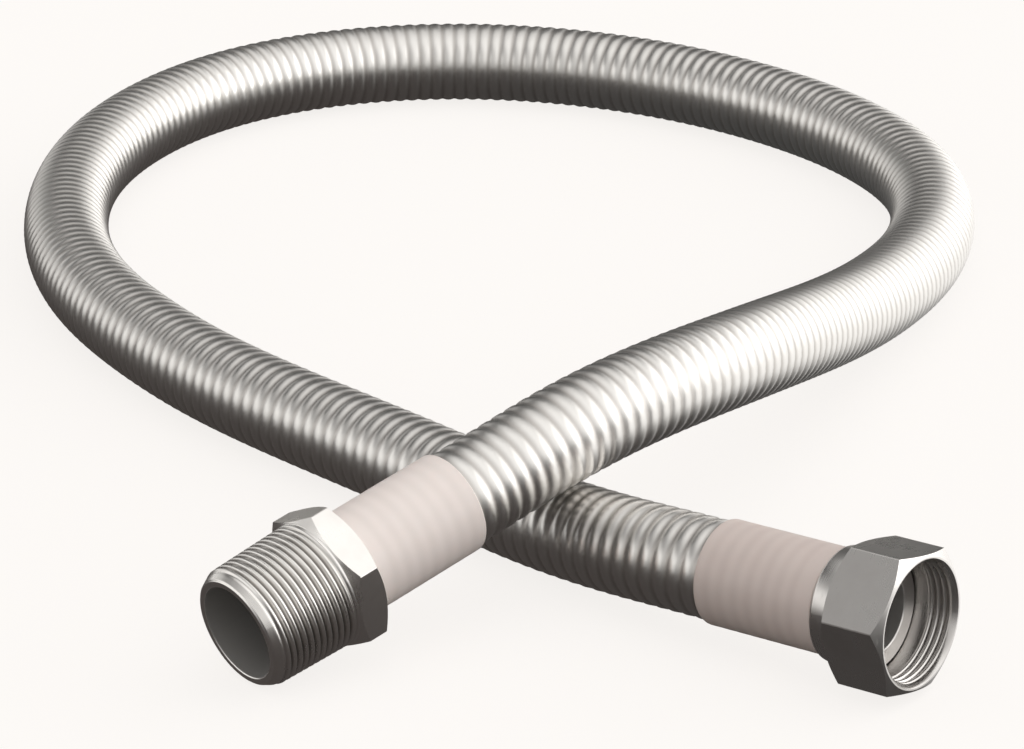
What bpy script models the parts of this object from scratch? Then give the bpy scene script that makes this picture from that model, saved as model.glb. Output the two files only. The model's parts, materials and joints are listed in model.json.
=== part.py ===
"""High-pressure flexible hose for water or gas, modelled in metres with +Z up.

A corrugated stainless tube lies in one loop on a level surface. One end is welded to
a hexagon nipple with a taper pipe thread, and the other to a flanged tail on which a
union nut turns freely. A shrink sleeve covers each welded joint. The origin is the
middle of the footprint, on the surface that the hose lies on.
"""

import math

import bmesh
import bpy
import numpy as np
from mathutils import Matrix, Vector

MM = 0.001

# Corrugated tube
HOSE_CREST_RADIUS = 10.3 * MM
CORRUGATION_DEPTH = 0.8 * MM
CORRUGATION_PITCH = 3.4 * MM
HOSE_BORE_RADIUS = 8.1 * MM
HOSE_BEVEL_RESOLUTION = 3
PATH_SAMPLES_PER_STRETCH = 40

# Clearances
SEAT_GAP = 0.3 * MM
RUNNING_GAP = 0.3 * MM
SLEEVE_FIT = 0.2 * MM

# Weld neck of each fitting, just under the tube's crests so that the sleeve slides over it
WELD_NECK_STEP = 0.1 * MM
WELD_NECK_LENGTH = 3.0 * MM
WELD_NECK_RADIUS = HOSE_CREST_RADIUS - WELD_NECK_STEP

# Hexagon nipple, a taper pipe thread for a three-quarter inch pipe
NIPPLE_HEX_WIDTH = 27.5 * MM
NIPPLE_HEX_LENGTH = 7.0 * MM
NIPPLE_HEX_TURN = math.radians(-6.0)
NIPPLE_SHOULDER = 0.85 * MM
THREAD_CREST_RADIUS = NIPPLE_HEX_WIDTH / 2 - NIPPLE_SHOULDER
THREAD_TAPER = 1 / 32
THREAD_LENGTH = 20.2 * MM
LEAD_LENGTH = 2.6 * MM
LEAD_DROP = 1.4 * MM
MOUTH_RADIUS = THREAD_CREST_RADIUS - LEAD_DROP
MOUTH_WALL = 1.5 * MM
NIPPLE_BORE_RADIUS = MOUTH_RADIUS - MOUTH_WALL
NIPPLE_BORE_DEPTH = 19.0 * MM
BORE_CONE_LENGTH = 3.0 * MM

# Union nut, a parallel pipe thread for the same pipe
NUT_WIDTH = 27.5 * MM
NUT_HEX_LENGTH = 14.2 * MM
NUT_TURN = math.radians(20.0)
NUT_WALL = 1.65 * MM
NUT_THREAD_RADIUS = NUT_WIDTH / 2 - NUT_WALL
NUT_THREAD_DEPTH = 8.8 * MM
NUT_COUNTERSINK = 0.8 * MM
NUT_MOUTH_RADIUS = NUT_THREAD_RADIUS + NUT_COUNTERSINK
NUT_MOUTH_LENGTH = 1.0 * MM
NUT_RELIEF_CUT = 0.8 * MM
NUT_RELIEF_RADIUS = NUT_THREAD_RADIUS + NUT_RELIEF_CUT
HEX_FACE_SHARE = 0.97
HEX_CHAMFER = math.radians(30)

# Flanged tail inside the nut
FLANGE_FIT = 0.4 * MM
FLANGE_RADIUS = NUT_THREAD_RADIUS - FLANGE_FIT
FLANGE_SETBACK = 0.6 * MM
FLANGE_DEPTH = NUT_THREAD_DEPTH + FLANGE_SETBACK
FLANGE_THICKNESS = 2.8 * MM
TAIL_SHOULDER = 0.5 * MM
TAIL_NECK_RADIUS = WELD_NECK_RADIUS - TAIL_SHOULDER

# The nut's hole for the tail's neck, and the collar round it
NUT_HOLE_RADIUS = TAIL_NECK_RADIUS + RUNNING_GAP
NUT_COLLAR_WALL = 1.8 * MM
NUT_COLLAR_RADIUS = NUT_HOLE_RADIUS + NUT_COLLAR_WALL
NUT_COLLAR_LENGTH = 4.5 * MM

# Shrink sleeves
SLEEVE_LENGTH = 28.0 * MM
SLEEVE_WALL = 0.4 * MM

TURNED_STEPS = 40
MERGE_DISTANCE = 0.00001
CUTTER_OVERRUN = 1.0 * MM
CREASE_ANGLE = math.radians(35)

# Where the two ends lie, and which way their mouths point
NIPPLE_MOUTH = Vector((69.0, -172.8, 12.0)) * MM
NIPPLE_YAW = math.radians(-101.5)
NIPPLE_PITCH = math.radians(-13.3)
NUT_MOUTH = Vector((175.7, -93.2, 15.9)) * MM
NUT_YAW = 0.0
NUT_PITCH = math.radians(2.5)

# The tube leaves each weld straight for this far
STRAIGHT_RUN = 30.0 * MM

# The loop between the straight runs, from the nipple's side to the nut's, in millimetres
ROUTE = (
    (85.7, -92.4, 31.8),
    (88.5, -65.3, 34.0),
    (87.3, -38.2, 31.8),
    (82.6, -11.8, 27.3),
    (76, 14.3, 21.8),
    (69, 40.3, 16.9),
    (61.4, 66.2, 13.3),
    (52.7, 90.6, 11.2),
    (40.1, 114.8, 10.4),
    (23, 135.5, 10.3),
    (1, 151, 10.3),
    (-24.5, 161, 10.3),
    (-51, 165.5, 10.3),
    (-78, 165, 10.3),
    (-104, 159, 10.3),
    (-128.2, 146.8, 10.3),
    (-147.8, 128.3, 10.3),
    (-160.2, 106.4, 10.3),
    (-165.8, 80, 10.3),
    (-163.5, 53, 10.3),
    (-155, 27, 10.3),
    (-142.4, 4.4, 10.3),
    (-125, -17.5, 10.3),
    (-105, -36, 10.3),
    (-82, -51, 10.3),
    (-57.5, -62, 10.3),
    (-31.5, -70.5, 10.3),
    (-5, -76, 10.3),
    (22, -80, 10.3),
    (49, -84.2, 10.35),
    (76, -88.7, 10.5),
    (102, -92, 12.0),
)


def direction(yaw, pitch):
    """Unit vector for a heading about +Z and a rise above level."""
    level = math.cos(pitch)
    return Vector((level * math.cos(yaw), level * math.sin(yaw), math.sin(pitch)))


def end_empty(name, mouth, yaw, pitch, collection):
    """Empty at a fitting's mouth, with its local +Z pointing out of the mouth."""
    empty = bpy.data.objects.new(name, None)
    turn = direction(yaw, pitch).to_track_quat("Z", "Y")
    empty.matrix_world = Matrix.LocRotScale(mouth, turn, None)
    empty.empty_display_size = HOSE_CREST_RADIUS
    collection.objects.link(empty)
    return empty


def finish_material(name, color, roughness, metallic):
    """Principled material with a plain finish."""
    material = bpy.data.materials.new(name)
    material.use_nodes = True
    shader = material.node_tree.nodes["Principled BSDF"]
    shader.inputs["Base Color"].default_value = (*color, 1.0)
    shader.inputs["Roughness"].default_value = roughness
    shader.inputs["Metallic"].default_value = metallic
    return material


def add_object(name, mesh, collection, parent):
    """Object for a mesh, with its origin at its end's mouth."""
    obj = bpy.data.objects.new(name, mesh)
    obj.parent = parent
    collection.objects.link(obj)
    return obj


def make_cutter(obj):
    """Keep a helper out of the render and show it as wire."""
    obj.hide_render = True
    obj.display_type = "WIRE"
    return obj


def turned_solid(name, profile, collection, parent):
    """Solid turned about the end's axis, from (radius, height) pairs, top centre to bottom centre."""
    mesh = bpy.data.meshes.new(name)
    points = [(radius, 0.0, height) for radius, height in profile]
    edges = [(i, i + 1) for i in range(len(points) - 1)]
    mesh.from_pydata(points, edges, [])
    obj = add_object(name, mesh, collection, parent)
    screw = obj.modifiers.new("turn", "SCREW")
    screw.axis = "Z"
    screw.steps = TURNED_STEPS
    screw.render_steps = TURNED_STEPS
    screw.use_merge_vertices = True
    screw.merge_threshold = MERGE_DISTANCE
    return obj


def hexagon(name, width, length, turn, top, collection, parent):
    """Hexagonal prism measured across its flats, from a height downwards."""
    bm = bmesh.new()
    corner_radius = width / math.sqrt(3)
    middle = Matrix.Translation((0.0, 0.0, top - length / 2))
    bmesh.ops.create_cone(
        bm,
        cap_ends=True,
        segments=6,
        radius1=corner_radius,
        radius2=corner_radius,
        depth=length,
        matrix=middle @ Matrix.Rotation(turn, 4, "Z"),
    )
    mesh = bpy.data.meshes.new(name)
    bm.to_mesh(mesh)
    bm.free()
    return add_object(name, mesh, collection, parent)


def chamfer_form(name, width, length, top, collection, parent):
    """Turned form whose cones take the corners off both faces of a hexagon."""
    face_radius = HEX_FACE_SHARE * width / 2
    corner_radius = width / math.sqrt(3)
    drop = (corner_radius - face_radius) * math.tan(HEX_CHAMFER)
    reach = corner_radius + CUTTER_OVERRUN
    overrun_drop = CUTTER_OVERRUN * math.tan(HEX_CHAMFER)
    profile = (
        (0.0, top),
        (face_radius, top),
        (reach, top - drop - overrun_drop),
        (reach, top - length + drop + overrun_drop),
        (face_radius, top - length),
        (0.0, top - length),
    )
    return make_cutter(turned_solid(name, profile, collection, parent))


def combine(obj, operation, other):
    """Boolean modifier that joins, cuts or intersects with another object."""
    boolean = obj.modifiers.new(operation.lower(), "BOOLEAN")
    boolean.operation = operation
    boolean.object = other


def shade_round(obj):
    """Settle an object's modifiers into its mesh, shaded smooth between crisp edges."""
    graph = bpy.context.evaluated_depsgraph_get()
    mesh = bpy.data.meshes.new_from_object(obj.evaluated_get(graph))
    mesh.shade_smooth()
    mesh.set_sharp_from_angle(angle=CREASE_ANGLE)
    obj.modifiers.clear()
    obj.data = mesh
    return obj


def thread_end_radius():
    """Crest radius of the taper thread where it meets the hexagon."""
    return THREAD_CREST_RADIUS + (THREAD_LENGTH - LEAD_LENGTH) * THREAD_TAPER


def nipple_back():
    """Height of the nipple's hexagon back face below its mouth."""
    return -(THREAD_LENGTH + NIPPLE_HEX_LENGTH)


def make_nipple(parts, cutters, end):
    """Hexagon nipple: taper thread blank, hexagon and weld neck, bored through."""
    back = nipple_back()
    body = turned_solid(
        "male_nipple",
        (
            (0.0, 0.0),
            (MOUTH_RADIUS, 0.0),
            (THREAD_CREST_RADIUS, -LEAD_LENGTH),
            (thread_end_radius(), -THREAD_LENGTH),
            (WELD_NECK_RADIUS, -THREAD_LENGTH - NIPPLE_HEX_LENGTH / 2),
            (WELD_NECK_RADIUS, back - WELD_NECK_LENGTH),
            (0.0, back - WELD_NECK_LENGTH),
        ),
        parts,
        end,
    )
    hex_blank = make_cutter(
        hexagon(
            "nipple_hexagon",
            NIPPLE_HEX_WIDTH,
            NIPPLE_HEX_LENGTH,
            NIPPLE_HEX_TURN,
            -THREAD_LENGTH,
            cutters,
            end,
        )
    )
    chamfers = chamfer_form(
        "nipple_chamfers", NIPPLE_HEX_WIDTH, NIPPLE_HEX_LENGTH, -THREAD_LENGTH, cutters, end
    )
    combine(hex_blank, "INTERSECT", chamfers)
    bore = make_cutter(
        turned_solid(
            "nipple_bore",
            (
                (0.0, CUTTER_OVERRUN),
                (NIPPLE_BORE_RADIUS, CUTTER_OVERRUN),
                (NIPPLE_BORE_RADIUS, -NIPPLE_BORE_DEPTH),
                (HOSE_BORE_RADIUS, -NIPPLE_BORE_DEPTH - BORE_CONE_LENGTH),
                (HOSE_BORE_RADIUS, back - WELD_NECK_LENGTH - CUTTER_OVERRUN),
                (0.0, back - WELD_NECK_LENGTH - CUTTER_OVERRUN),
            ),
            cutters,
            end,
        )
    )
    combine(body, "UNION", hex_blank)
    combine(body, "DIFFERENCE", bore)
    return shade_round(body)


def nut_back():
    """Height of the nut's back face below its mouth."""
    return -(NUT_HEX_LENGTH + NUT_COLLAR_LENGTH)


def make_union_nut(parts, cutters, end):
    """Union nut: chamfered hexagon with a round collar, a threaded socket and a back shoulder."""
    nut = hexagon("union_nut", NUT_WIDTH, NUT_HEX_LENGTH, NUT_TURN, 0.0, parts, end)
    chamfers = chamfer_form("nut_chamfers", NUT_WIDTH, NUT_HEX_LENGTH, 0.0, cutters, end)
    collar = make_cutter(
        turned_solid(
            "nut_collar",
            (
                (0.0, -NUT_HEX_LENGTH / 2),
                (NUT_COLLAR_RADIUS, -NUT_HEX_LENGTH / 2),
                (NUT_COLLAR_RADIUS, nut_back()),
                (0.0, nut_back()),
            ),
            cutters,
            end,
        )
    )
    shoulder = -(FLANGE_DEPTH + FLANGE_THICKNESS + SEAT_GAP)
    socket = make_cutter(
        turned_solid(
            "nut_socket",
            (
                (0.0, CUTTER_OVERRUN),
                (NUT_MOUTH_RADIUS, CUTTER_OVERRUN),
                (NUT_MOUTH_RADIUS, 0.0),
                (NUT_THREAD_RADIUS, -NUT_MOUTH_LENGTH),
                (NUT_THREAD_RADIUS, -NUT_THREAD_DEPTH),
                (NUT_RELIEF_RADIUS, -NUT_THREAD_DEPTH - (NUT_RELIEF_RADIUS - NUT_THREAD_RADIUS)),
                (NUT_RELIEF_RADIUS, shoulder),
                (NUT_HOLE_RADIUS, shoulder),
                (NUT_HOLE_RADIUS, nut_back() - CUTTER_OVERRUN),
                (0.0, nut_back() - CUTTER_OVERRUN),
            ),
            cutters,
            end,
        )
    )
    combine(nut, "INTERSECT", chamfers)
    combine(nut, "UNION", collar)
    combine(nut, "DIFFERENCE", socket)
    return shade_round(nut)


def tail_back():
    """Height of the tail's weld face below the nut's mouth."""
    return nut_back() - SEAT_GAP - WELD_NECK_LENGTH


def make_tail(parts, cutters, end):
    """Tail piece: sealing flange, neck through the nut and weld shoulder behind it."""
    flange_back = -(FLANGE_DEPTH + FLANGE_THICKNESS)
    tail = turned_solid(
        "tail_piece",
        (
            (0.0, -FLANGE_DEPTH),
            (FLANGE_RADIUS, -FLANGE_DEPTH),
            (FLANGE_RADIUS, flange_back),
            (TAIL_NECK_RADIUS, flange_back),
            (TAIL_NECK_RADIUS, nut_back() - SEAT_GAP),
            (WELD_NECK_RADIUS, nut_back() - SEAT_GAP),
            (WELD_NECK_RADIUS, tail_back()),
            (0.0, tail_back()),
        ),
        parts,
        end,
    )
    bore = make_cutter(
        turned_solid(
            "tail_bore",
            (
                (0.0, -FLANGE_DEPTH + CUTTER_OVERRUN),
                (HOSE_BORE_RADIUS, -FLANGE_DEPTH + CUTTER_OVERRUN),
                (HOSE_BORE_RADIUS, tail_back() - CUTTER_OVERRUN),
                (0.0, tail_back() - CUTTER_OVERRUN),
            ),
            cutters,
            end,
        )
    )
    combine(tail, "DIFFERENCE", bore)
    return shade_round(tail)


def make_sleeve(name, top, parts, end):
    """Thin tube shrunk over a weld and the first corrugations."""
    bm = bmesh.new()
    inner_radius = HOSE_CREST_RADIUS + SLEEVE_FIT
    bmesh.ops.create_cone(
        bm,
        cap_ends=False,
        segments=TURNED_STEPS,
        radius1=inner_radius,
        radius2=inner_radius,
        depth=SLEEVE_LENGTH,
        matrix=Matrix.Translation((0.0, 0.0, top - SLEEVE_LENGTH / 2)),
    )
    mesh = bpy.data.meshes.new(name)
    bm.to_mesh(mesh)
    bm.free()
    sleeve = add_object(name, mesh, parts, end)
    wall = sleeve.modifiers.new("wall", "SOLIDIFY")
    wall.thickness = SLEEVE_WALL
    wall.offset = 1.0
    return shade_round(sleeve)


def spline_tangents(points, knots, first, last):
    """Tangents of the smooth cubic curve through the points, with the end tangents given."""
    count = len(points)
    spans = np.diff(knots)
    system = np.eye(count)
    sides = np.zeros((count, 3))
    sides[0], sides[-1] = first, last
    for i in range(1, count - 1):
        before, after = spans[i - 1], spans[i]
        system[i, i - 1 : i + 2] = (after, 2 * (before + after), before)
        rise_before = (points[i] - points[i - 1]) / before
        rise_after = (points[i + 1] - points[i]) / after
        sides[i] = 3 * (after * rise_before + before * rise_after)
    return np.linalg.solve(system, sides)


def smooth_curve(points, first, last):
    """Many points along the smooth curve through a few points."""
    knots = np.concatenate([[0.0], np.cumsum(np.linalg.norm(np.diff(points, axis=0), axis=1))])
    tangents = spline_tangents(points, knots, first, last)
    steps = np.linspace(0.0, 1.0, PATH_SAMPLES_PER_STRETCH, endpoint=False)[:, None]
    stretches = []
    for i, span in enumerate(np.diff(knots)):
        stretches.append(
            (2 * steps**3 - 3 * steps**2 + 1) * points[i]
            + (steps**3 - 2 * steps**2 + steps) * span * tangents[i]
            + (3 * steps**2 - 2 * steps**3) * points[i + 1]
            + (steps**3 - steps**2) * span * tangents[i + 1]
        )
    return np.concatenate([*stretches, points[-1:]])


def hose_centreline():
    """Tube's centreline from weld to weld: a straight run, the loop, and a straight run."""
    nipple_axis = np.array(direction(NIPPLE_YAW, NIPPLE_PITCH))
    nut_axis = np.array(direction(NUT_YAW, NUT_PITCH))
    start = np.array(NIPPLE_MOUTH) + nipple_axis * (nipple_back() - WELD_NECK_LENGTH - SEAT_GAP)
    finish = np.array(NUT_MOUTH) + nut_axis * (tail_back() - SEAT_GAP)
    loop_start = start - nipple_axis * STRAIGHT_RUN
    loop_finish = finish - nut_axis * STRAIGHT_RUN
    through = np.array([loop_start, *(np.array(ROUTE) * MM), loop_finish])
    loop = smooth_curve(through, -nipple_axis, nut_axis)
    return np.concatenate([start[None], loop, finish[None]])


def evenly_spaced(path, spacing):
    """Points at equal steps along a path, the step fitted to an even number of half pitches."""
    along = np.concatenate([[0.0], np.cumsum(np.linalg.norm(np.diff(path, axis=0), axis=1))])
    pairs = round(along[-1] / (2 * spacing))
    marks = np.linspace(0.0, along[-1], 2 * pairs + 1)
    return np.stack([np.interp(marks, along, path[:, axis]) for axis in range(3)], axis=1)


def make_hose(parts):
    """Annular corrugations: a bevelled poly curve whose radius steps from crest to root."""
    points = evenly_spaced(hose_centreline(), CORRUGATION_PITCH / 2)
    curve = bpy.data.curves.new("corrugated_hose", "CURVE")
    curve.dimensions = "3D"
    curve.bevel_depth = HOSE_CREST_RADIUS
    curve.bevel_resolution = HOSE_BEVEL_RESOLUTION
    curve.use_fill_caps = True
    spline = curve.splines.new("POLY")
    spline.points.add(len(points) - 1)
    root_share = 1 - CORRUGATION_DEPTH / HOSE_CREST_RADIUS
    for i, point in enumerate(points):
        spline.points[i].co = (*point, 1.0)
        spline.points[i].radius = 1.0 if i % 2 == 0 else root_share
    hose = bpy.data.objects.new("corrugated_hose", curve)
    parts.objects.link(hose)
    return hose


def new_collection(name):
    """Collection linked to the scene."""
    collection = bpy.data.collections.new(name)
    bpy.context.scene.collection.children.link(collection)
    return collection


def main():
    """Clear the scene and build the hose with its fittings."""
    for obj in list(bpy.data.objects):
        bpy.data.objects.remove(obj, do_unlink=True)
    parts = new_collection("flexible_hose")
    cutters = new_collection("cutters")
    nipple_end = end_empty("nipple_end", NIPPLE_MOUTH, NIPPLE_YAW, NIPPLE_PITCH, parts)
    nut_end = end_empty("nut_end", NUT_MOUTH, NUT_YAW, NUT_PITCH, parts)
    finishes = (
        (make_hose(parts), (0.72, 0.71, 0.69), 0.28, 1.0),
        (make_nipple(parts, cutters, nipple_end), (0.62, 0.60, 0.58), 0.30, 1.0),
        (make_tail(parts, cutters, nut_end), (0.60, 0.59, 0.57), 0.30, 1.0),
        (make_union_nut(parts, cutters, nut_end), (0.55, 0.53, 0.51), 0.32, 1.0),
        (
            make_sleeve("male_sleeve", nipple_back() - SEAT_GAP, parts, nipple_end),
            (0.80, 0.72, 0.69),
            0.45,
            0.0,
        ),
        (
            make_sleeve("female_sleeve", nut_back() - SEAT_GAP, parts, nut_end),
            (0.72, 0.65, 0.62),
            0.45,
            0.0,
        ),
    )
    for obj, color, roughness, metallic in finishes:
        material = finish_material(f"{obj.name}_finish", color, roughness, metallic)
        obj.data.materials.append(material)


if __name__ == "__main__":
    main()
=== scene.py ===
"""Looks of a corrugated stainless hose with a threaded nipple and a union nut.

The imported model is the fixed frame. Each sub-assembly is a class that builds its meshes in that frame
and dresses them, and each finish is a frozen dataclass that makes one material. Lengths are in metres
and +Z is up.
"""

import json
import logging
import math
from collections.abc import Mapping, Sequence
from dataclasses import dataclass, field
from enum import Enum

import bpy
import numpy as np
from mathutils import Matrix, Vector


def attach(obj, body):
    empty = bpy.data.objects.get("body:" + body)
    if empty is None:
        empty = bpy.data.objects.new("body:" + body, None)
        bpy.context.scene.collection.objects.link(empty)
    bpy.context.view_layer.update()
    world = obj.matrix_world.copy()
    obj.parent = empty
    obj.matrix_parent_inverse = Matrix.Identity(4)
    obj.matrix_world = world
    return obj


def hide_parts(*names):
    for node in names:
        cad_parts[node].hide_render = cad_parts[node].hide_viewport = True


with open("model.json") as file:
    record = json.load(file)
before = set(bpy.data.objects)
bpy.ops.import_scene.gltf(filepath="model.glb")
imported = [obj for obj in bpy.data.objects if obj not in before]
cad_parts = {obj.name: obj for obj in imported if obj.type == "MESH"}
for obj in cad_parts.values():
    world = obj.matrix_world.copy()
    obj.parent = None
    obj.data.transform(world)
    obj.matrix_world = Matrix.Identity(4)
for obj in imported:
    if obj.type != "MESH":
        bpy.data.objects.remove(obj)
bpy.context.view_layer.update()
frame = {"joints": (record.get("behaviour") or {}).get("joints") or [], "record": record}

LOG = logging.getLogger("hose")
MM = 0.001
SEAT_GAP = 0.3 * MM
Colour = tuple[float, float, float]
Stretch = tuple[float, float, float]
Fades = tuple[tuple[float, float], tuple[float, float]]


class ThreadSide(Enum):
    """Which way a thread's grooves are cut from the surface that carries it."""

    OUTSIDE = -1.0
    INSIDE = 1.0


@dataclass(frozen=True)
class Wire:
    """A shader value that can be used in Python expressions."""

    graph: "Graph"
    socket: bpy.types.NodeSocket

    def __add__(self, other: "Wire | float") -> "Wire":
        """Sum of two values."""
        return self.graph.maths("ADD", self, other)

    __radd__ = __add__

    def __sub__(self, other: "Wire | float") -> "Wire":
        """Difference of two values."""
        return self.graph.maths("SUBTRACT", self, other)

    def __rsub__(self, other: float) -> "Wire":
        """Difference with a plain number first."""
        return self.graph.maths("SUBTRACT", other, self)

    def __mul__(self, other: "Wire | float") -> "Wire":
        """Product of two values."""
        return self.graph.maths("MULTIPLY", self, other)

    __rmul__ = __mul__

    def __truediv__(self, other: "Wire | float") -> "Wire":
        """Quotient of two values."""
        return self.graph.maths("DIVIDE", self, other)

    def __rtruediv__(self, other: float) -> "Wire":
        """Quotient with a plain number first."""
        return self.graph.maths("DIVIDE", other, self)

    def __pow__(self, other: "Wire | float") -> "Wire":
        """Power of a value."""
        return self.graph.maths("POWER", self, other)

    def clamped(self) -> "Wire":
        """The value held between 0 and 1."""
        return self.graph.maths("ADD", self, 0.0, clamp=True)


@dataclass
class Graph:
    """The nodes of one material or world."""

    tree: bpy.types.NodeTree

    def node(
        self,
        kind: str,
        settings: Mapping[str, object] | None = None,
        sockets: Mapping[str | int, object] | None = None,
    ) -> bpy.types.Node:
        """Make a node, set it up, then fill its sockets.

        Args:
            kind: Blender's type name of the node.
            settings: The node's own settings. "stops" gives a colour ramp's (position, colour) pairs.
            sockets: Values or wires by socket name or index.

        Returns:
            The new node.
        """
        made = self.tree.nodes.new(kind)
        for name, value in (settings or {}).items():
            if name == "stops":
                self._set_stops(made.color_ramp, value)
            else:
                setattr(made, name, value)
        for key, value in (sockets or {}).items():
            if isinstance(value, Wire):
                self.tree.links.new(value.socket, made.inputs[key])
            else:
                made.inputs[key].default_value = value
        return made

    @staticmethod
    def _set_stops(ramp: bpy.types.ColorRamp, stops: Sequence[tuple[float, Colour]]) -> None:
        """Give a colour ramp its stops.

        Args:
            ramp: The ramp to fill, which starts with two stops.
            stops: Position and colour of each stop, in rising order.
        """
        for position, _ in stops[2:]:
            ramp.elements.new(position)
        for element, (position, colour) in zip(ramp.elements, stops):
            element.position = position
            element.color = (*colour, 1.0)

    def wire(self, node: bpy.types.Node, output: str | int = 0) -> Wire:
        """One output of a node as a value for expressions."""
        return Wire(self, node.outputs[output])

    def maths(self, operation: str, first: object, second: object, clamp: bool = False) -> Wire:
        """Math node on two numbers.

        Args:
            operation: The Math node's operation.
            first: A wire or a number.
            second: A wire or a number.
            clamp: Whether the result is held between 0 and 1.

        Returns:
            The result.
        """
        settings = {"operation": operation, "use_clamp": clamp}
        return self.wire(self.node("ShaderNodeMath", settings, {0: first, 1: second}))

    def blend(self, factor: Wire | float, first: object, second: object) -> Wire:
        """Colour between two colours.

        Args:
            factor: 0 for the first colour, 1 for the second.
            first: A wire or a colour.
            second: A wire or a colour.

        Returns:
            The mixed colour.
        """
        colours = [value if isinstance(value, Wire) else (*value, 1.0) for value in (first, second)]
        sockets = {0: factor, 6: colours[0], 7: colours[1]}
        return self.wire(self.node("ShaderNodeMix", {"data_type": "RGBA"}, sockets), 2)

    def attribute(self, name: str, output: str = "Fac") -> Wire:
        """A value stored on the mesh's points."""
        return self.wire(self.node("ShaderNodeAttribute", {"attribute_name": name}), output)

    def place(self) -> Wire:
        """The point in the piece's own coordinates, with the third along its axis."""
        return self.attribute("place", "Vector")

    def vector(self, operation: str, sockets: Mapping[int, object], output: str = "Vector") -> Wire:
        """Result of a Vector Math node."""
        return self.wire(self.node("ShaderNodeVectorMath", {"operation": operation}, sockets), output)

    def towards(self, direction: Wire, axis: Vector) -> Wire:
        """Cosine of the angle between a direction and a fixed axis."""
        return self.vector("DOT_PRODUCT", {0: direction, 1: tuple(axis)}, "Value")

    def from_axis(self, place: Wire) -> Wire:
        """Distance from the piece's own axis."""
        return self.vector("LENGTH", {0: self.stretched(place, (1.0, 1.0, 0.0))}, "Value")

    def stretched(self, place: Wire, scale: Stretch) -> Wire:
        """Coordinates multiplied along each axis."""
        return self.vector("MULTIPLY", {0: place, 1: scale})

    def noise(self, place: Wire, scale: float, detail: float = 3.0) -> Wire:
        """Smooth noise between 0 and 1.

        Args:
            place: Coordinates that the noise is read at.
            scale: Features for each unit of the coordinates.
            detail: Number of finer layers.

        Returns:
            The noise value.
        """
        sockets = {"Vector": place, "Scale": scale, "Detail": detail}
        return self.wire(self.node("ShaderNodeTexNoise", None, sockets), "Fac")

    def bump(self, height: Wire, strength: float, distance: float) -> Wire:
        """Normal disturbed by a height.

        Args:
            height: Height from 0 to 1.
            strength: Share of the effect.
            distance: Real height, in metres, that 1 stands for.

        Returns:
            The normal.
        """
        sockets = {"Strength": strength, "Distance": distance, "Height": height}
        return self.wire(self.node("ShaderNodeBump", None, sockets))


def new_material(name: str, constants: Mapping[str, object]) -> tuple[bpy.types.Material, Graph]:
    """Principled material with its constant sockets set.

    Args:
        name: The material's name.
        constants: Values of the shader's sockets that are the same all over.

    Returns:
        The material and its graph.
    """
    material = bpy.data.materials.new(name)
    material.use_nodes = True
    graph = Graph(material.node_tree)
    for key, value in constants.items():
        material.node_tree.nodes["Principled BSDF"].inputs[key].default_value = value
    return material, graph


def feed(graph: Graph, wires: Mapping[str, Wire]) -> None:
    """Link values to the Principled shader's sockets.

    Args:
        graph: The material's graph.
        wires: Values by socket name.
    """
    shader = graph.tree.nodes["Principled BSDF"]
    for key, value in wires.items():
        graph.tree.links.new(value.socket, shader.inputs[key])


@dataclass(frozen=True)
class RolledSteel:
    """Bright rolled stainless steel of the corrugated tube, rougher in the grooves, with painted shade
    darkening each groove.
    """

    name: str = "rolled_steel"
    crest: Colour = (0.80, 0.785, 0.76)
    # The groove colour is painted shade: the steel's colour darkens down into each groove.
    groove: Colour = (0.46, 0.435, 0.41)
    groove_painted_shade: float = 0.75
    cloud_tone: float = 0.25
    cloud_scale: float = 90.0
    grain_scale: float = 1400.0
    polish: float = 0.24
    cloud_roughness: float = 0.08
    grain_roughness: float = 0.05
    groove_roughness: float = 0.10
    grain_strength: float = 0.25
    grain_height: float = 0.04 * MM

    def material(self) -> bpy.types.Material:
        """Make the material.

        Returns:
            The material, which any piece of this finish can share.
        """
        material, graph = new_material(self.name, {"Metallic": 1.0})
        place = graph.place()
        depth = graph.attribute("groove")
        cloud = graph.noise(place, self.cloud_scale)
        grain = graph.noise(place, self.grain_scale, detail=2.0)
        # Painted shade deepens towards each groove, on top of a random cloudy tone.
        tone = (depth**2 * self.groove_painted_shade + (cloud - 0.5) * self.cloud_tone).clamped()
        dulled = cloud * self.cloud_roughness + grain * self.grain_roughness
        feed(
            graph,
            {
                "Base Color": graph.blend(tone, self.crest, self.groove),
                "Roughness": self.polish + dulled + depth * self.groove_roughness,
                "Normal": graph.bump(grain, self.grain_strength, self.grain_height),
            },
        )
        return material


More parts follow.
